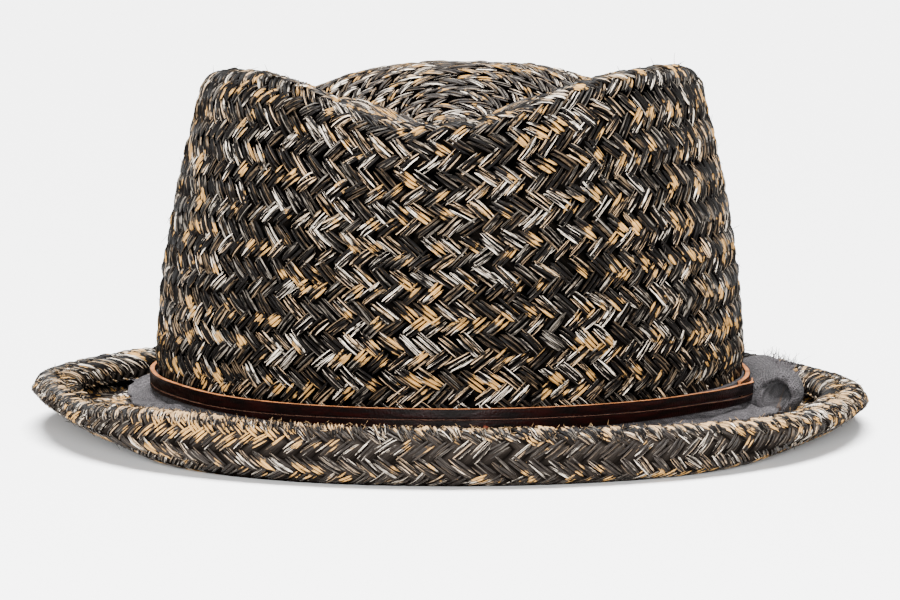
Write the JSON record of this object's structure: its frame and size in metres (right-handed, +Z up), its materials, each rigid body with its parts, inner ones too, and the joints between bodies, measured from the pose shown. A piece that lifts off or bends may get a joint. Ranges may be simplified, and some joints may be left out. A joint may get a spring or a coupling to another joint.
{
  "type": "straw hat",
  "caption": "Straw hat with a pinched, creased crown, a short brim curled up at its edge, a raw cloth band with a rolled end at one side, and thin leather straps round the crown.",
  "frame": {"origin": "middle of the bounding box at the surface that the brim rests on", "axes": "+Z up, -Y to the front of the hat, +X to the wearer's left, where the cloth is rolled"},
  "size_m": [0.246, 0.2948, 0.1062],
  "materials": {
    "straw": "dark stained plaited straw, satin, worn to tan",
    "cloth": "matt grey woven cotton with a raw edge",
    "leather": "dark red-brown, semi-gloss, bare cut edges"
  },
  "bodies": {
    "root": {"crown": "straw", "brim": "straw", "cloth_band": "cloth", "cloth_roll": "cloth", "strap_upper": "leather", "strap_lower": "leather"}
  },
  "joints": []
}
